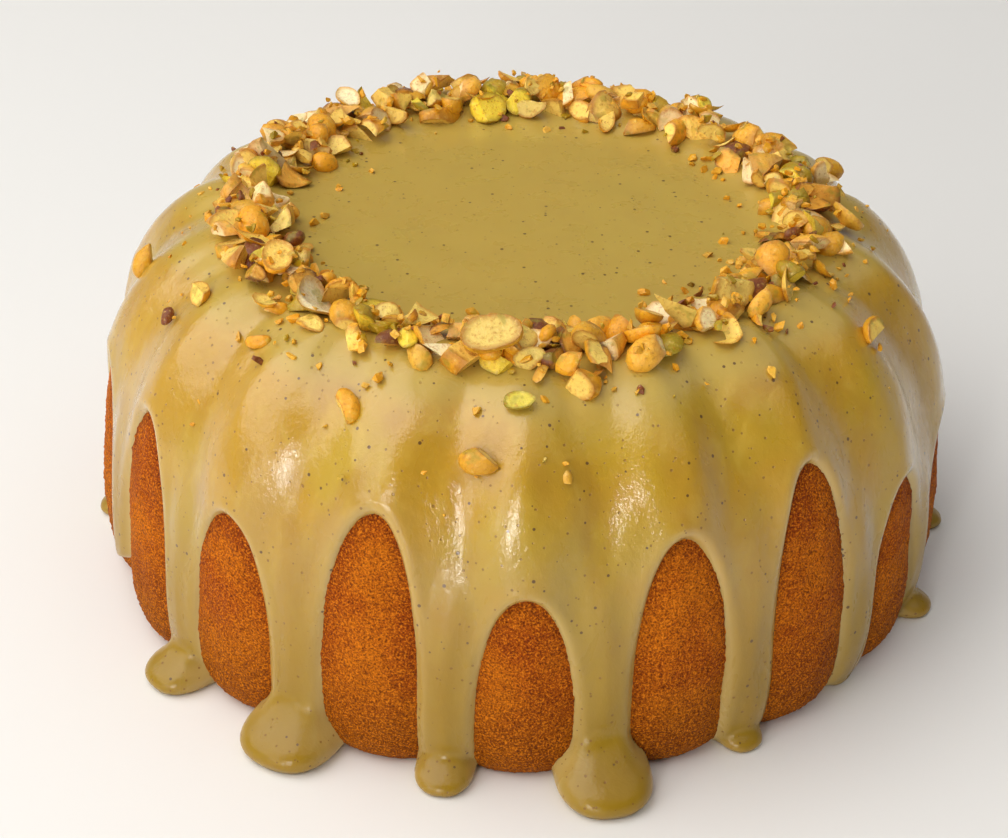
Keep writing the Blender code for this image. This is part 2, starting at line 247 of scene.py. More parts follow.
def crustMaterial():
    # baked crust: golden to light in broad areas, browner near the cream and at the foot, with sandy grain
    # and dark pits
    n = Nodes("goldenCrust")
    where = n.place()
    broad = n.noise(where, crustLook["broad"], 3.0)
    patches = n.noise(where, crustLook["patches"], 3.0, 0.6)
    grain = n.noise(where, crustLook["grain"], 3.0, 0.65)
    pores, _ = n.cells(where, crustLook["pores"])
    color = n.mix(n.step(broad, 0.35, 0.65), crustLook["golden"], crustLook["light"])
    color = n.mix(n.step(patches, 0.45, 0.75, 0.0, 0.35), color, crustLook["deep"])
    color = n.mix(n.value("nearCream"), color, crustLook["deep"])
    color = n.mix(n.value("nearFoot"), color, crustLook["foot"])
    color = n.mix(n.step(grain, 0.5, 0.63, 0.0, 0.65), color, crustLook["sand"])
    color = n.mix(n.step(grain, 0.48, 0.37, 0.0, 0.75), color, crustLook["pit"])
    height = n.math("ADD", grain, n.math("MULTIPLY", n.step(pores, 0.0, 0.35), 0.35))
    return n.finish(Base_Color=color, Roughness=n.step(grain, 0.3, 0.7, 0.58, 0.82),
                    Normal=n.bump(height, crustLook["bump"], 0.9), Specular_IOR_Level=0.1,
                    Subsurface_Weight=0.05, Subsurface_Radius=crustLook["scatter"], Subsurface_Scale=1.0)


creamLook = {
    "base": (0.52, 0.290, 0.020, 1), "green": (0.50, 0.318, 0.022, 1), "pale": (0.62, 0.405, 0.055, 1),
    # rim is a painted highlight along the cream's edge; foot is painted shade down the wall, with the darker
    # olive of thick cream at the feet
    "brown": (0.42, 0.218, 0.016, 1), "pool": (0.52, 0.368, 0.076, 1), "rim": (0.58, 0.42, 0.15, 1),
    "foot": (0.29, 0.168, 0.006, 1), "speck": (0.08, 0.03, 0.012, 1), "dot": (0.20, 0.075, 0.010, 1),
    # sizes of the patterns, as waves or cells to a millimetre
    "broad": 0.028, "middle": 0.07, "flow": 0.16, "ripple": 0.13, "grain": 1.1, "specks": 0.33, "dots": 0.62,
    "bump": 0.0008, "coatBump": 0.0002, "scatter": (0.0035, 0.0024, 0.0008),
}


def creamMaterial():
    # glossy cream: green to brown in soft areas, darker down the wall with painted shade and, at the feet, the
    # darker olive of thick cream, paler in the pool, with a painted highlight along its thin edges, dark specks
    # of nut and a wet coat
    n = Nodes("pistachioCream")
    where = n.place()
    up = n.add("ShaderNodeSeparateXYZ", Vector=where).outputs["Z"]  # height in millimetres
    down = n.place(z=0.35)  # drawn out down the wall
    broad = n.noise(where, creamLook["broad"], 2.0)
    flow = n.noise(down, creamLook["flow"], 3.0, 0.55, 0.6)
    middle = n.noise(down, creamLook["middle"], 2.0)
    color = n.mix(n.step(broad, 0.4, 0.62), creamLook["base"], creamLook["green"])
    color = n.mix(n.step(middle, 0.5, 0.7, 0.0, 0.6), color, creamLook["brown"])
    color = n.mix(n.step(flow, 0.5, 0.75, 0.0, 0.4), color, creamLook["pale"])
    # painted shade, darkest at the foot of the wall, which turns away from the light above; at the feet also
    # the darker olive of thick cream
    color = n.mix(n.step(up, 86.0, 10.0, 0.0, 0.85), color, creamLook["foot"])
    color = n.mix(n.step(up, 92.0, 97.0, 0.0, 0.8), color, creamLook["pool"])
    # painted highlight along the bead at the cream's edge
    color = n.mix(n.math("MULTIPLY", n.value("rim"), 0.8), color, creamLook["rim"])
    # a speck is what lies nearer to a cell's place than a random size, which is below 0 in some of the cells
    apart, chance = n.cells(where, creamLook["specks"])
    size = n.step(n.add("ShaderNodeSeparateColor", Color=chance).outputs["Red"], 0.4, 1.0, -0.01, 0.15)
    speck = n.step(n.math("SUBTRACT", apart, size), 0.02, -0.01)
    apart, chance = n.cells(where, creamLook["dots"])
    size = n.step(n.add("ShaderNodeSeparateColor", Color=chance).outputs["Green"], 0.45, 1.0, -0.03, 0.23)
    dot = n.step(n.math("SUBTRACT", apart, size), 0.03, -0.03)
    color = n.mix(n.math("MULTIPLY", speck, 0.85), color, creamLook["speck"])
    color = n.mix(n.math("MULTIPLY", dot, n.step(up, 97.0, 90.0, 0.3, 0.65)), color, creamLook["dot"])
    drawn = n.place(z=0.6)
    ripple = n.noise(drawn, creamLook["ripple"], 2.0)
    grain = n.noise(drawn, creamLook["grain"], 3.0, 0.6, 0.4)
    calm = n.step(up, 99.0, 90.0, 0.12, 1.0)  # the pool is smoother than the wall
    height = n.math("ADD", n.math("MULTIPLY", grain, 0.12), n.math("MULTIPLY", ripple, 0.9))
    height = n.math("MULTIPLY", height, calm)
    height = n.math("SUBTRACT", height, n.math("MULTIPLY", dot, 0.2))
    normal = n.bump(height, creamLook["bump"], 0.6)
    coatNormal = n.bump(n.math("MULTIPLY", grain, calm), creamLook["coatBump"], 0.5, normal)
    coat = n.math("MULTIPLY", n.step(up, 99.0, 92.0, 0.25, 0.9), n.step(up, 20.0, 62.0, 0.3, 1.0))
    return n.finish(Base_Color=color, Roughness=n.step(flow, 0.3, 0.75, 0.26, 0.36), Normal=normal, IOR=1.36,
                    Subsurface_Weight=0.22, Subsurface_Radius=creamLook["scatter"], Subsurface_Scale=1.0,
                    Coat_Weight=coat, Coat_Roughness=0.06, Coat_IOR=1.6, Coat_Normal=coatNormal)


nutLook = {
    "toasted": (0.48, 0.17, 0.010, 1), "pale": (0.96, 0.68, 0.20, 1), "green": (0.30, 0.26, 0.018, 1),
    "mottle": 0.9, "broad": 0.22,  # sizes of the patterns, as waves to a millimetre
    "bump": 0.0005, "scatter": (0.0025, 0.0014, 0.0005),
}


def nutMaterial(name):
    # each nut's own colour, mottled with toasted and pale spots and greenish areas
    n = Nodes(name)
    where = n.place()
    mottle = n.noise(where, nutLook["mottle"], 4.0, 0.6)
    broad = n.noise(where, nutLook["broad"], 2.0)
    color = n.mix(n.step(mottle, 0.52, 0.7, 0.0, 0.6), n.color("nutColor"), nutLook["toasted"])
    color = n.mix(n.step(mottle, 0.45, 0.3, 0.0, 0.45), color, nutLook["pale"])
    color = n.mix(n.step(broad, 0.58, 0.7, 0.0, 0.5), color, nutLook["green"])
    return n.finish(Base_Color=color, Roughness=n.step(mottle, 0.3, 0.7, 0.24, 0.44), IOR=1.45,
                    Normal=n.bump(mottle, nutLook["bump"], 0.7), Subsurface_Weight=0.1,
                    Subsurface_Radius=nutLook["scatter"], Subsurface_Scale=1.0)


# Sponge: the crest line less the dip between lobes, with a fine uneven crumb.
sponge = {
    "columns": 44, "rowSpacing": 0.95 * mm, "crumb": 0.13 * mm, "swell": 0.35 * mm,
    "bareTop": 86 * mm,  # height below which the crust can be seen
    "fineTop": 84 * mm, "hiddenSpacing": 2.5 * mm,
    "hiddenTop": [(68.4, 94.6), (62, 84), (0, 84)],  # radius and height in mm, under the cream
}
crestLine = curveThrough(np.array(cake["wall"]) * mm, 40)


def buildSponge():
    # rows of points round the cake, moved off the crest line by the dip, a slow swell and a random crumb
    spacings = sponge["rowSpacing"], sponge["hiddenSpacing"]
    wall = resample(crestLine, lambda point: spacings[0 if point[1] < sponge["fineTop"] else 1])
    line = np.vstack([wall, np.array(sponge["hiddenTop"]) * mm])
    normals = lineNormals(line)
    normals[-2:] = (0.0, 1.0)
    columns = cake["lobes"] * sponge["columns"]
    angle = np.arange(columns) * 2 * np.pi / columns - np.pi
    lobe = np.round(angle / pitch)
    across = np.abs(angle / pitch - lobe) * 2
    radius, height = line[:, :1], line[:, 1:]
    arc = angle[None, :] * outerArc + 0 * radius
    swell = sponge["swell"] * waves(3, (arc, height + 0 * arc), (30 * mm, 40 * mm), 9)
    swell = swell * smoothStep(0, 10 * mm, height)
    crumb = sponge["crumb"] * np.random.default_rng(5).normal(size=arc.shape) * (height < sponge["bareTop"])
    move = swell + crumb - spongeDip(across[None, :], radius)
    r = radius + normals[:, :1] * move
    z = np.maximum(height + normals[:, 1:] * move, 0.0)
    z[0] = 0.0
    turn = shifted(angle)
    points = np.stack([r * np.sin(turn), -r * np.cos(turn), z], axis=-1).reshape(-1, 3)
    rows = len(line)
    index = np.arange(rows * columns).reshape(rows, columns)
    right = np.roll(index, -1, axis=1)
    faces = np.stack([index[:-1], right[:-1], right[1:], index[1:]], axis=-1).reshape(-1, 4).tolist()
    faces.append(index[0][::-1].tolist())
    item = meshObject("goldenSponge", points, faces, crustMaterial())
    x = across[None, :] * pitch / 2 * radius
    edge = windowEdge(lobe[None, :], x, height + 0 * x)
    # darker close to the cream's edge and more so at the top; browner at the foot
    top = windowTop(lobe)[None, :]
    nearCream = np.exp(-np.maximum(-edge, 0) / (2.6 * mm)) * (0.25 + 0.5 * smoothStep(0.3, 1.0, height / top))
    pointValue(item.data, "nearCream", nearCream)
    pointValue(item.data, "nearFoot", (1 - smoothStep(2 * mm, 42 * mm, height)) * 0.85 + 0 * x)
    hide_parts("sponge")
    return item


# Cream: one net of rows for each valley, whose columns fan out to the edges of the windows on both sides.
pour = {
    "coat": 2.4 * mm, "valley": 4.6 * mm, "bulge": 2.2 * mm, "columns": 14,
    "edgeGrowth": 0.95 * mm,  # distance over which the edge of the cream swells to most of its thickness
    "bead": 0.35 * mm, "overlap": 0.4 * mm, "swirl": 0.09 * mm, "unevenness": 0.28 * mm,
    "level": 95.0 * mm,  # the sponge under the middle of the pool
    "wallRadius": 97 * mm,  # the windows and drips lie outside it
    "hiddenRadius": 100 * mm,  # inner edge of the cream's underside
    # foot of a drip by valley: its distance from the axis and size in mm
    "feet": {0: (122.5, 12.6), 1: (116, 6.2), -1: (119, 8.2), -2: (120.5, 12.4), -3: (119.5, 9.6),
             3: (118, 6.4), 4: (120, 6.0), 2: (112, 5.0)},
    "shortDrips": {-4: 14 * mm},  # height at which a drip ends
    "tip": 6 * mm,  # length of such a drip's round end
    "drip": 112.5 * mm,  # distance from the axis at which a drip comes down to its foot
    # half width of a foot over its height, both as shares of its size
    "footShape": [(0, 0.90), (0.2, 1.0), (0.48, 0.93), (0.85, 0.66), (1.6, 0.40), (2.4, 0.28), (40, 0.0)],
}
rim = [(76.8, 97.8), (69, 96.7), (62, 95.2), (53, 95.0), (38, 95.0), (20, 95.0), (0, 95.0)]


def rowSpacing(point):
    # fine at the feet of the drips and finest where the windows end
    radius, height = point
    if radius < 60 * mm:
        return 2.5 * mm
    if radius < 100 * mm:
        return 1.3 * mm
    for limit, spacing in ((12 * mm, 0.8 * mm), (48 * mm, 1.1 * mm), (80 * mm, 0.58 * mm)):
        if height < limit:
            return spacing
    return 1.0 * mm


pourLine = resample(curveThrough(np.array(cake["wall"] + rim) * mm, 40), rowSpacing)
pourNormals = lineNormals(pourLine)


def footOf(valley):
    # distance and size of a drip's foot: as listed, or varied behind, where larger ones also lie further out
    turn = signedTurn(valley)
    if turn in pour["shortDrips"]:
        return None
    size = 7.5 + 3.5 * np.sin(1.9 * (turn % cake["lobes"]))
    centre, size = pour["feet"].get(turn, (116 + 0.4 * size, size))
    return centre * mm, size * mm


def creamSurface(valley, side, away, radius, height):
    # how far the full cream stands off the crest line: its coat, less a rounded valley, and more where a drip
    # bulges between two windows; away is 0 in the valley and 1 on the crest
    both = (windowTop(valley) + windowTop(valley + 1)) / 2
    top = both + (windowTop(valley + (side > 0)) - both) * smoothStep(0, 1, away)
    depth = lobeDepth(radius) * pour["valley"] / cake["lobeDepth"]
    surface = pour["coat"] - depth * (1 + np.cos(np.pi * away)) / 2
    between = 1.0 - smoothStep(0.7, 1.15, height / top)
    return surface + pour["bulge"] * between * (1.0 - smoothStep(0.0, 0.45, away))


def softMax(a, b, soft):
    # the larger of two, with a rounded change from one to the other
    high = np.maximum(a, b)
    return high + soft * np.log(np.exp((a - high) / soft) + np.exp((b - high) / soft))


def dripNet(valley, side):
    # points and their distance from the edge, for one side of one drip: rows up the line, columns from the
    # valley to the edge of the window, or to the crest where there is none
    radius, height = pourLine[:, :1], pourLine[:, 1:]
    wallRow = radius > pour["wallRadius"]
    half = pitch / 2 * np.maximum(radius, 1e-6)
    lobe = valley + (side > 0)
    top, wide = windowTop(lobe), windowHalf(lobe)
    shoulder = top * cake["shoulder"]
    rise = np.clip((height - shoulder) / (top - shoulder), 0, 1)
    open_ = np.where(wallRow & (height < top), wide * np.sqrt(1 - rise**2), 0.0)
    edge = half - open_
    foot = footOf(valley)
    footWide = np.zeros_like(height)
    if foot:
        shape = curveThrough(pour["footShape"], 12)
        footWide = np.interp(height / foot[1], shape[:, 0], shape[:, 1]) * foot[1] * (height < 50 * mm)
        edge = np.where(open_ > 0, (edge**6 + footWide**6) ** (1 / 6), edge)
    else:
        tip = pour["shortDrips"][signedTurn(valley)]
        under = np.clip((tip + pour["tip"] - height) / pour["tip"], 0, 1)
        edge = np.where(height < tip + pour["tip"], edge * np.sqrt(np.maximum(1 - under**2, 0.0)), edge)
    reach = np.minimum(edge + pour["overlap"], half)
    # columns draw together towards the edge, most of all at the feet; s is their distance from the valley
    u = np.linspace(0, 1, pour["columns"] + 1)[None, :]
    curved = 1 - 0.55 * smoothStep(10 * mm, 30 * mm, height)
    curved = curved * (1 - smoothStep(top, top + 12 * mm, height))
    s = reach * ((1 - curved) * u + curved * np.sin(np.pi / 2 * u))
    away = s / half
    angle = (valley + 0.5) * pitch + side * away * pitch / 2
    uneven = waves(21, (angle * outerArc, height + 0 * s), (26 * mm, 60 * mm), 10)
    uneven = pour["unevenness"] * uneven * smoothStep(62 * mm, 90 * mm, radius)
    full = creamSurface(valley, side, away, radius, height) + uneven
    crust = -spongeDip(1 - away, radius)
    distance = np.where(wallRow, windowEdge(lobe, half - s, height), 1.0)
    if foot:
        distance = np.where(wallRow & (footWide > 0), softMax(distance, footWide - s, 0.6 * mm), distance)
    else:
        distance = np.where(height < tip + pour["tip"], np.minimum(distance, edge - s), distance)
    # the cream swells from the crust at its edge to a small bead and its full thickness, and dives in beyond
    thick = full - crust
    swell = 1 - np.exp(-np.maximum(distance, 0) / pour["edgeGrowth"])
    bead = pour["bead"] * np.exp(-((distance - 2.2 * mm) / (1.6 * mm)) ** 2)
    dive = np.maximum(thick * np.minimum(distance, 0) / pour["edgeGrowth"], -1.2 * mm)
    move = crust + thick * swell + bead * swell + dive
    if foot:
        # a foot is round seen from above, and leans back to the drip as it rises
        centre, size = foot
        lean = smoothStep(0.2, 1.4, height / size)
        outer = centre * (1 - lean) + pour["drip"] * lean + footWide
        base = radius - spongeDip(1 - np.minimum(footWide / half, 1), radius) - 0.6 * mm
        share = np.clip(s / np.maximum(footWide, 1e-6), 0, 1)
        round_ = base + (outer - base) * np.maximum(1 - share**2.5, 0) ** 0.4 - radius
        # the foot is merged with the drip where the cream is still low on the wall
        merged = softMax(move, np.where(share < 1, round_, -0.02), 0.9 * mm)
        move = np.where((height < 2.2 * size) & (share < 1.0), merged, move)
    # faint rings in the pool, left by the pouring
    swirl = pour["swirl"] * np.sin((radius / (4.2 * mm)) + angle + 1.2 * np.sin(2 * angle + radius / (20 * mm)))
    move = move + swirl * (1 - smoothStep(45 * mm, 60 * mm, radius)) * smoothStep(0.0, 12 * mm, radius)
    r = radius + pourNormals[:, :1] * move
    z = np.maximum(height + pourNormals[:, 1:] * move, 0.0)
    z[0] = 0.0
    r[-1] = 0.0
    z[-1] = pour["level"] + pour["coat"]
    turn = shifted(angle)
    points = np.stack([r * np.sin(turn), -r * np.cos(turn), z], axis=-1)
    under = points[:1].copy()
    under[..., :2] *= pour["hiddenRadius"] / np.linalg.norm(under[..., :2], axis=-1, keepdims=True)
    return np.concatenate([under, points]), np.concatenate([distance[:1], distance])


def buildCream():
    # the nets of both sides of all drips, joined to one mesh where their points meet
    allPoints, allFaces, allEdgeHighlights, start = [], [], [], 0
    for valley in range(-(cake["lobes"] // 2), cake["lobes"] // 2):
        for side in (-1, 1):
            points, distance = dripNet(valley, side)
            rows, columns = points.shape[:2]
            index = np.arange(rows * columns).reshape(rows, columns) + start
            corners = [index[:-1, :-1], index[:-1, 1:], index[1:, 1:], index[1:, :-1]]
            if side < 0:
                corners.reverse()
            allFaces.append(np.stack(corners, axis=-1).reshape(-1, 4))
            allPoints.append(points.reshape(-1, 3))
            # mask of the painted highlight along the cream's edge, strongest where the cream meets the crust
            allEdgeHighlights.append(np.exp(-np.maximum(distance, 0) / (1.5 * mm)).ravel())
            start += rows * columns
    item = meshObject("pistachioCream", np.vstack(allPoints), np.vstack(allFaces).tolist(), creamMaterial())
    pointValue(item.data, "rim", np.concatenate(allEdgeHighlights))
    mesh = bmesh.new()
    mesh.from_mesh(item.data)
    bmesh.ops.remove_doubles(mesh, verts=mesh.verts, dist=0.012 * mm)
    mesh.to_mesh(item.data)
    mesh.free()
    item.data.shade_smooth()
    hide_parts("pistachio_cream")
    return item


def surfaceAt(angle, radius):
    # height of the cream on top and on the shoulder and the normal there (outwards and up), at arrays of angles
    # and radii: the moved line of the cream is read off between its points
    angle, radius = np.atleast_1d(angle), np.atleast_1d(radius)
    heights, tilts = np.zeros(len(angle)), np.zeros((len(angle), 2))
    keep = pourLine[:, 1] > 60 * mm
    for i, (a, r) in enumerate(zip(angle, radius)):
        valley = int(np.floor(a / pitch))
        inside = a / pitch - valley - 0.5
        away = np.abs(inside) * 2
        move = creamSurface(valley, 1 if inside > 0 else -1, away, pourLine[keep, 0], pourLine[keep, 1])
        outR = pourLine[keep, 0] + pourNormals[keep, 0] * move
        outZ = pourLine[keep, 1] + pourNormals[keep, 1] * move
        heights[i] = np.interp(-r, -outR, outZ)
        tilts[i] = [np.interp(-r, -outR, pourNormals[keep, k]) for k in (0, 1)]
    return heights, tilts


# Nuts: a few cut shapes of each kind, scattered with their own size, turn and colour.
nuts = {
    "ring": 76 * mm, "halfWidth": 10.2 * mm, "shards": 310, "sizes": (5.5 * mm, 8.0 * mm, 14.5 * mm),
    "halfLength": 11.5 * mm,  # least length of a half kernel in the heap
    "tries": 5,  # places of which a piece takes the lowest
    "sink": 0.8 * mm, "tilt": 0.42, "looseTilt": 0.15, "crumbTilt": 0.6,
    # crumbs: spread round the ring in mm and sizes; and of every ninth, how far outside the ring and sizes
    "crumbs": 560, "crumbSpread": 9.5, "crumbSizes": (1.2, 3.6), "farPlaces": (8, 34), "farSizes": (0.8, 1.8),
    # large pieces lying on the cream: degrees from the front, radius and length in mm, kind, turn
    "loose": [(-25.6, 97.8, 9.8, "golden", 160), (-5.8, 103.2, 9.6, "golden", 10),
              (61, 101, 9.8, "golden", 140), (-0.6, 94, 8.0, "green", 0),
              (-83, 103, 10, "golden", 200), (-62, 94, 8, "golden", 30),
              (-45, 93, 7, "golden", 80), (118, 101, 9, "golden", 300), (164, 97, 9, "golden", 240),
              (-140, 104, 8, "pale", 120), (5.6, 105.3, 3.4, "pale", 90), (-13, 105, 2.6, "golden", 0),
              (-42, 97.5, 3.2, "brown", 50), (-24, 93.8, 2.0, "pale", 20), (-7, 94, 2.8, "golden", 70),
              (3, 92.6, 2.6, "golden", 130), (-66, 101, 5.5, "brown", 15)],
    # one large half kernel at the front of the heap: degrees, radius and length in mm
    "half": (-5.5, 81, 15.5),
}
# colours of the outside, of the cut faces and of the toasted edges between them, and the share of all pieces
palette = {
    "golden": ((0.82, 0.38, 0.014), (0.98, 0.66, 0.13), (0.44, 0.15, 0.008), 0.50),
    "pale": ((0.84, 0.44, 0.04), (1.0, 0.80, 0.42), (0.60, 0.26, 0.02), 0.24),
    "green": ((0.44, 0.28, 0.008), (0.88, 0.66, 0.05), (0.26, 0.18, 0.006), 0.13),
    "brown": ((0.20, 0.050, 0.010), (0.86, 0.42, 0.05), (0.12, 0.028, 0.006), 0.13),
}
# a kernel, by shares of its length: section, taper, lumps of skin and cut, hollows of the cuts, wear of edges
kernel = {
    "width": 0.64, "thickness": 0.58, "taper": 0.25, "lump": 0.05, "smallLump": 0.035, "cutLump": 0.018,
    "dish": 0.055, "hollow": 0.012, "hollowReach": 0.16, "wear": 0.3,
    "halving": (0.0, 0.15), "slice": (0.12, 0.6),  # where the first cut of a half and the other cuts lie
    "flake": 0.55, "curl": (1.4, 2.4),  # thickness and curl of a flake
}


def nutShape(seed, cuts, detail, form="shard"):
    # an egg-shaped kernel of length 1, sliced by planes and worn round; returns points, triangles and, for each
    # point, its share of cut face. The first cut of a half is flat and dished; a flake is thin and curled
    draw = np.random.default_rng(seed)
    mesh = bmesh.new()
    bmesh.ops.create_icosphere(mesh, subdivisions=detail, radius=0.5)
    phases = draw.uniform(0, 6, 6)
    for vert in mesh.verts:
        x, y, z = vert.co
        lump = 1 + kernel["lump"] * np.sin(9 * x + phases[0]) * np.sin(8 * y + phases[1])
        lump += kernel["smallLump"] * np.sin(15 * z + 11 * x + phases[2])
        taper = 1 - kernel["taper"] * (x + 0.1)
        vert.co = Vector((x, y * kernel["width"] * taper, z * kernel["thickness"] * taper)) * lump
    for i in range(cuts):
        facing = draw.normal(size=3) * (0.9, 1.0, 1.1)
        flat = i == 0 and form != "shard"
        if flat:
            facing = np.array([0.06, 0.1, 1.0])
        facing /= np.linalg.norm(facing)
        reach = max(abs(np.dot(v.co, facing)) for v in mesh.verts)
        place = facing * reach * draw.uniform(*kernel["halving" if flat else "slice"])
        geometry = mesh.verts[:] + mesh.edges[:] + mesh.faces[:]
        bmesh.ops.bisect_plane(mesh, geom=geometry, dist=0.004, plane_co=place, plane_no=facing,
                               clear_outer=True)
        rims = [e for e in mesh.edges if e.is_boundary]
        if not rims or detail < 2:
            bmesh.ops.holes_fill(mesh, edges=rims)
            continue
        filled = bmesh.ops.holes_fill(mesh, edges=rims)["faces"]
        for face in filled:
            face.material_index = 1
        border = [v.co.copy() for e in rims for v in e.verts]
        middles = bmesh.ops.poke(mesh, faces=filled)["verts"]
        spokes = [e for v in middles for e in v.link_edges]
        inner = bmesh.ops.subdivide_edges(mesh, edges=spokes, cuts=2, use_grid_fill=False)["geom_inner"]
        rings = [v for v in inner if isinstance(v, bmesh.types.BMVert)]
        for vert in (v for v in middles + rings if v.is_valid):
            x, y, z = vert.co
            sunk = min(1.0, min((vert.co - corner).length for corner in border) / kernel["hollowReach"])
            lump = kernel["cutLump"] * np.sin(14 * x + phases[3]) * np.sin(13 * y + 9 * z + phases[4])
            vert.co += Vector(facing) * (lump - sunk * kernel["dish" if flat else "hollow"])
    bmesh.ops.remove_doubles(mesh, verts=mesh.verts, dist=0.006)
    bmesh.ops.triangulate(mesh, faces=mesh.faces)
    if detail > 1:
        bmesh.ops.smooth_vert(mesh, verts=mesh.verts, factor=kernel["wear"], use_axis_x=True, use_axis_y=True,
                              use_axis_z=True)
    mesh.verts.index_update()
    points = np.array([v.co for v in mesh.verts])
    triangles = np.array([[v.index for v in f.verts] for f in mesh.faces])
    cut = np.array([np.mean([f.material_index for f in v.link_faces] or [0.0]) for v in mesh.verts])
    mesh.free()
    points -= (points.max(0) + points.min(0)) / 2
    if form == "flake":
        curl = draw.uniform(*kernel["curl"])
        x, z = points[:, 0].copy(), points[:, 2] * kernel["flake"]
        points[:, 0] = np.sin(curl * x) * (1 / curl + z)
        points[:, 2] = (1 - np.cos(curl * x)) / curl + z * np.cos(curl * x)
        points -= (points.max(0) + points.min(0)) / 2
    # cut pieces keep their own length of about 1
    return points / np.clip(np.ptp(points, axis=0).max(), 0.5, 2.0), triangles, cut


def turned(up, yaw, tilt):
    # rotation that lays a piece's z along up, spun by yaw and tipped by tilt
    base = Vector(up).to_track_quat("Z", "Y").to_matrix()
    spin = Matrix.Rotation(yaw, 3, "Z") @ Matrix.Rotation(tilt[0], 3, "X") @ Matrix.Rotation(tilt[1], 3, "Y")
    return np.array(base @ spin)


class Heap:
    # height of what lies on the cream so far, on a grid of 1 mm
    def __init__(self):
        inner = 40  # smallest radius that is needed, in mm
        self.size = 116  # points from the middle to the edge
        axis = (np.arange(2 * self.size + 1) - self.size) * mm
        self.x, self.y = np.meshgrid(axis, axis, indexing="ij")
        angle, radius = np.arctan2(self.x, -self.y), np.hypot(self.x, self.y)
        turns = np.linspace(-np.pi, np.pi, 361)
        radii = np.arange(inner, self.size + 2) * mm
        table = np.array([surfaceAt(np.full(len(radii), t), radii)[0] for t in turns])
        i = np.clip(((angle + np.pi) / (2 * np.pi) * 360), 0, 359.999)
        j = np.clip(radius / mm - inner, 0, len(radii) - 1.001)
        a, b = i.astype(int), j.astype(int)
        fa, fb = i - a, j - b
        self.base = (table[a, b] * (1 - fa) * (1 - fb) + table[a + 1, b] * fa * (1 - fb)
                     + table[a, b + 1] * (1 - fa) * fb + table[a + 1, b + 1] * fa * fb)
        self.top = self.base.copy()

    def patch(self, x, y, reach):
        # the part of the grid within reach
        i, j = int(round(x / mm)) + self.size, int(round(y / mm)) + self.size
        k = int(np.ceil(reach / mm))
        return slice(max(i - k, 0), i + k + 1), slice(max(j - k, 0), j + k + 1)

    def rest(self, x, y, reach):
        # where a piece comes to rest: above most of what lies under it
        window = self.patch(x, y, reach)
        near = np.hypot(self.x[window] - x, self.y[window] - y) <= reach
        return np.percentile(self.top[window][near], 72)

    def ground(self, x, y):
        return self.base[int(round(x / mm)) + self.size, int(round(y / mm)) + self.size]

    def cover(self, x, y, reach, low, tall):
        # the piece's own dome, tall above low
        window = self.patch(x, y, reach)
        share = np.hypot(self.x[window] - x, self.y[window] - y) / reach
        dome = low + tall * np.sqrt(np.clip(1 - share**2, 0, 1))
        self.top[window] = np.where(share < 1, np.maximum(self.top[window], dome), self.top[window])


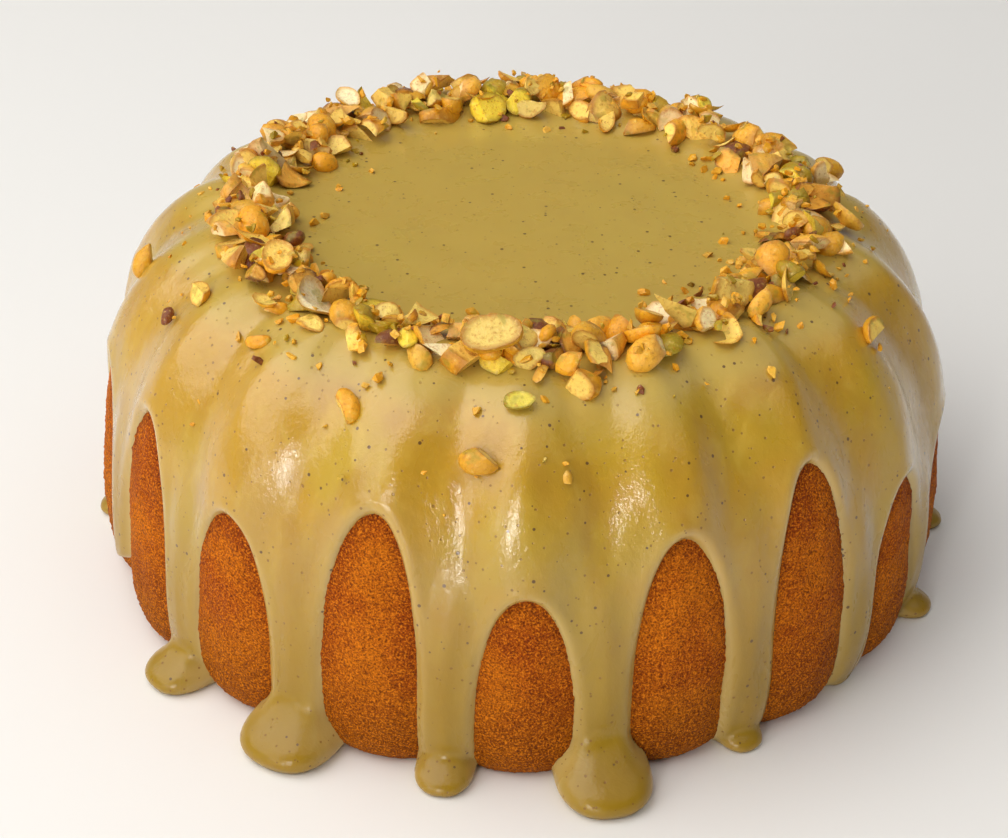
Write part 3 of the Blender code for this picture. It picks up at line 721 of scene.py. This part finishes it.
def scatterNuts():
    # the heap on the rim, the loose pieces, a large half kernel and the crumbs, in one mesh for each colour
    draw = np.random.default_rng(29)
    heap = Heap()
    shapes = [nutShape(100 + k, 2 + k % 4, 2) for k in range(26)]
    shapes += [nutShape(400 + k, 2 + k % 2, 2, "flake") for k in range(10)]
    halves = [nutShape(300 + k, 1, 3, "half") for k in range(5)]
    chunks = [nutShape(600 + k, 2, 3) for k in range(6)]
    bits = [nutShape(500 + k, 3 + k % 2, 1) for k in range(10)]
    kinds = list(palette)
    shares = [palette[k][3] for k in kinds]
    made = {k: {"points": [], "faces": [], "colors": [], "count": 0} for k in [*kinds, "crumb"]}

    def add(group, kind, shape, place, axes, length, squash=(1, 1, 1)):
        # one piece: its own brightness and warmth, and the edge colour where skin and cut meet
        points, triangles, cut = shape
        lot = made[group]
        lot["points"].append((points * np.array(squash) * length) @ axes.T + place)
        lot["faces"].append(triangles + lot["count"])
        lot["count"] += len(points)
        bright = draw.uniform(0.84, 1.16)
        warm = draw.uniform(-0.07, 0.07)
        skin, inside, edge = (np.array(color) for color in palette[kind][:3])
        share = cut[:, None]
        colors = skin + (inside - skin) * share
        colors = colors + (edge - colors) * 3.2 * share * (1 - share)
        colors = colors * bright * np.array([1 + warm, 1.0, 1 - 2 * warm])
        lot["colors"].append(np.column_stack([colors, np.ones(len(colors))]))

    def upAt(angle, radius):
        # the cream's normal
        tilt = surfaceAt(angle, radius)[1][0]
        return Vector((tilt[0] * np.sin(angle), -tilt[0] * np.cos(angle), max(tilt[1], 0.05))).normalized()

    # the heap on the rim: each piece takes the lowest of some places and rests on what lies there
    lengths = np.sort(draw.triangular(*nuts["sizes"], nuts["shards"]))[::-1]
    large = len(lengths) // 2
    order = np.concatenate([draw.permutation(large), large + draw.permutation(len(lengths) - large)])
    for k, length in enumerate(lengths[order]):
        options = []
        for _ in range(nuts["tries"]):
            angle = draw.uniform(-np.pi, np.pi)
            fuller = 0.5 * (1 - np.cos(angle))  # the heap is wider and fuller behind
            if draw.uniform() > 0.72 + 0.28 * fuller:
                angle += np.pi
            half = 0.92 + 0.14 * fuller + 0.1 * np.sin(5 * angle + 1) + 0.07 * np.sin(11 * angle)
            half *= nuts["halfWidth"]
            across = draw.normal() * 0.52
            across = across if abs(across) < 1.25 else draw.uniform(-1, 1)
            radius = nuts["ring"] + across * half
            x, y = radius * np.sin(angle), -radius * np.cos(angle)
            rest = heap.rest(x, y, 0.36 * length)
            options.append((rest - heap.ground(x, y), angle, radius, x, y, rest))
        _, angle, radius, x, y, rest = min(options)
        isHalf = k % 27 == 3
        shape = halves[draw.integers(len(halves))] if isHalf else shapes[draw.integers(len(shapes))]
        kind = kinds[draw.choice(len(kinds), p=shares)]
        if isHalf:
            length = max(length, nuts["halfLength"])
        tall = 0.44 * length
        flip = draw.uniform() < 0.4
        yaw, tilt = draw.uniform(0, 2 * np.pi), draw.normal(size=2) * nuts["tilt"]
        axes = turned(upAt(angle, radius), yaw, tilt + (np.pi * flip, 0))
        squash = (1.0, draw.uniform(0.8, 1.2), draw.uniform(0.8, 1.2))
        lift = 0.4 * tall * squash[2] - nuts["sink"]
        add(kind, kind, shape, np.array([x, y, rest + lift]), axes, length, squash)
        heap.cover(x, y, 0.42 * length, rest - nuts["sink"], tall * 0.95)
    for k, (degrees, radius, length, kind, turn) in enumerate(nuts["loose"]):
        angle, r = np.radians(degrees), radius * mm
        up = upAt(angle, r)
        height = surfaceAt(angle, r)[0][0]
        place = np.array([r * np.sin(angle), -r * np.cos(angle), height]) + np.array(up) * 0.1 * length * mm
        stock = chunks if length > 5 else bits
        shape = halves[1] if kind == "green" else stock[k % len(stock)]
        axes = turned(up, angle + np.radians(turn), draw.normal(size=2) * nuts["looseTilt"])
        add(kind, kind, shape, place, axes, length * mm)
    degrees, radius, length = nuts["half"]
    angle, r = np.radians(degrees), radius * mm
    x, y = r * np.sin(angle), -r * np.cos(angle)
    axes = turned(Vector((-0.25, -0.62, 0.74)), 0.35, (0.0, 0.0))  # leaning against the heap
    place = np.array([x, y, heap.rest(x, y, 5 * mm) + 1.8 * mm])
    add("golden", "golden", halves[2], place, axes, length * mm)
    # crumbs lie in and round the heap, a few of them further down the shoulder
    for k in range(nuts["crumbs"]):
        angle = draw.uniform(-np.pi, np.pi)
        far = k % 9 == 0
        outside = draw.uniform(*nuts["farPlaces"]) if far else draw.normal() * nuts["crumbSpread"]
        radius = nuts["ring"] + outside * mm
        length = draw.uniform(*nuts["farSizes" if far else "crumbSizes"]) * mm
        x, y = radius * np.sin(angle), -radius * np.cos(angle)
        rest = heap.rest(x, y, 1.2 * mm)
        kind = kinds[draw.choice(len(kinds), p=shares)]
        axes = turned(upAt(angle, radius), draw.uniform(0, 6), draw.normal(size=2) * nuts["crumbTilt"])
        place = np.array([x, y, rest + 0.12 * length])
        add("crumb", kind, bits[draw.integers(len(bits))], place, axes, length)
    for group, lot in made.items():
        name = f"nuts{group.capitalize()}"
        item = meshObject(name, np.vstack(lot["points"]), np.vstack(lot["faces"]).tolist(), nutMaterial(name))
        colors = item.data.color_attributes.new("nutColor", "FLOAT_COLOR", "POINT")
        colors.data.foreach_set("color", np.vstack(lot["colors"]).astype(np.float32).ravel())
        item.data.set_sharp_from_angle(angle=np.radians(42))
        print(name, len(item.data.polygons), "triangles")
    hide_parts("nut_ring")


# Stage: a pale floor, soft daylight from the left and the photograph's camera.
stage = {
    "elevation": 32.4, "distance": 0.6012, "target": (-4.8 * mm, 0.0, 32.16 * mm), "focal": 2067 / 1008 * 36,
    "roll": 1.0,
    "lights": [  # place, width and height, power, colour
        ((-0.95, -0.15, 1.3), (2.0, 2.0), 26.0, (1.0, 0.97, 0.92)),
        ((-0.95, -1.05, 0.40), (0.15, 0.5), 1.6, (1.0, 0.98, 0.94)),
        ((-0.42, -1.28, 0.36), (0.13, 0.5), 5.0, (1.0, 0.98, 0.95)),
        ((0.0, 0.3, 2.5), (5.0, 5.0), 42.0, (1.0, 0.99, 0.98)),
    ],
    "sky": (1.0, 0.985, 0.96, 1.0), "skyPower": 0.08, "horizonPower": 0.5,
    "horizonTop": 0.32,  # upward part of a view direction at which the bright band ends
    "floor": (0.91, 0.905, 0.89, 1), "floorHalf": 2.8, "floorGap": 0.1 * mm,
}


def buildStage():
    # floor, lights that face the camera's target, sky, and the camera, tipped by elevation and rolled
    mesh = bpy.data.meshes.new("floor")
    half = stage["floorHalf"]
    corners = [(-half, -half, 0), (half, -half, 0), (half, half, 0), (-half, half, 0)]
    mesh.from_pydata(corners, [], [(0, 1, 2, 3)])
    floor = bpy.data.objects.new("floor", mesh)
    floor.location.z = -stage["floorGap"]
    bpy.context.scene.collection.objects.link(floor)
    mesh.materials.append(Nodes("floor").finish(Base_Color=stage["floor"], Roughness=0.5))
    target = Vector(stage["target"])
    for i, (place, size, power, color) in enumerate(stage["lights"]):
        light = bpy.data.lights.new(f"light{i}", "AREA")
        light.shape = "RECTANGLE"
        light.size, light.size_y = size
        light.energy, light.color = power, color
        lamp = bpy.data.objects.new(f"light{i}", light)
        lamp.location = place
        lamp.rotation_euler = (target - Vector(place)).to_track_quat("-Z", "Y").to_euler()
        bpy.context.scene.collection.objects.link(lamp)
    world = bpy.data.worlds.new("sky")
    world.use_nodes = True
    tree, background = world.node_tree, world.node_tree.nodes["Background"]
    background.inputs["Color"].default_value = stage["sky"]
    # bright only in a band above the horizon, which hardly lights the cake
    kinds = "TexCoord", "SeparateXYZ", "MapRange"
    direction, apart, band = (tree.nodes.new(f"ShaderNode{kind}") for kind in kinds)
    band.inputs["From Min"].default_value, band.inputs["From Max"].default_value = 0.0, stage["horizonTop"]
    band.inputs["To Min"].default_value = stage["horizonPower"]
    band.inputs["To Max"].default_value = stage["skyPower"]
    tree.links.new(direction.outputs["Generated"], apart.inputs["Vector"])
    tree.links.new(apart.outputs["Z"], band.inputs["Value"])
    tree.links.new(band.outputs["Result"], background.inputs["Strength"])
    bpy.context.scene.world = world
    bpy.context.scene.view_settings.view_transform = "Standard"
    lens = bpy.data.cameras.new("camera")
    lens.sensor_width, lens.lens = 36, stage["focal"]
    lens.clip_start, lens.clip_end = 0.01, 20
    camera = bpy.data.objects.new("camera", lens)
    rise = np.radians(stage["elevation"])
    back = Vector((0, -np.cos(rise), np.sin(rise)))
    camera.location = target + back * stage["distance"]
    facing = (-back).to_track_quat("-Z", "Y").to_matrix()
    camera.rotation_euler = (facing @ Matrix.Rotation(np.radians(stage["roll"]), 3, "Z")).to_euler()
    bpy.context.scene.collection.objects.link(camera)
    bpy.context.scene.camera = camera


buildSponge()
print("sponge made")
buildCream()
print("cream made")
scatterNuts()
print("nuts made")
buildStage()
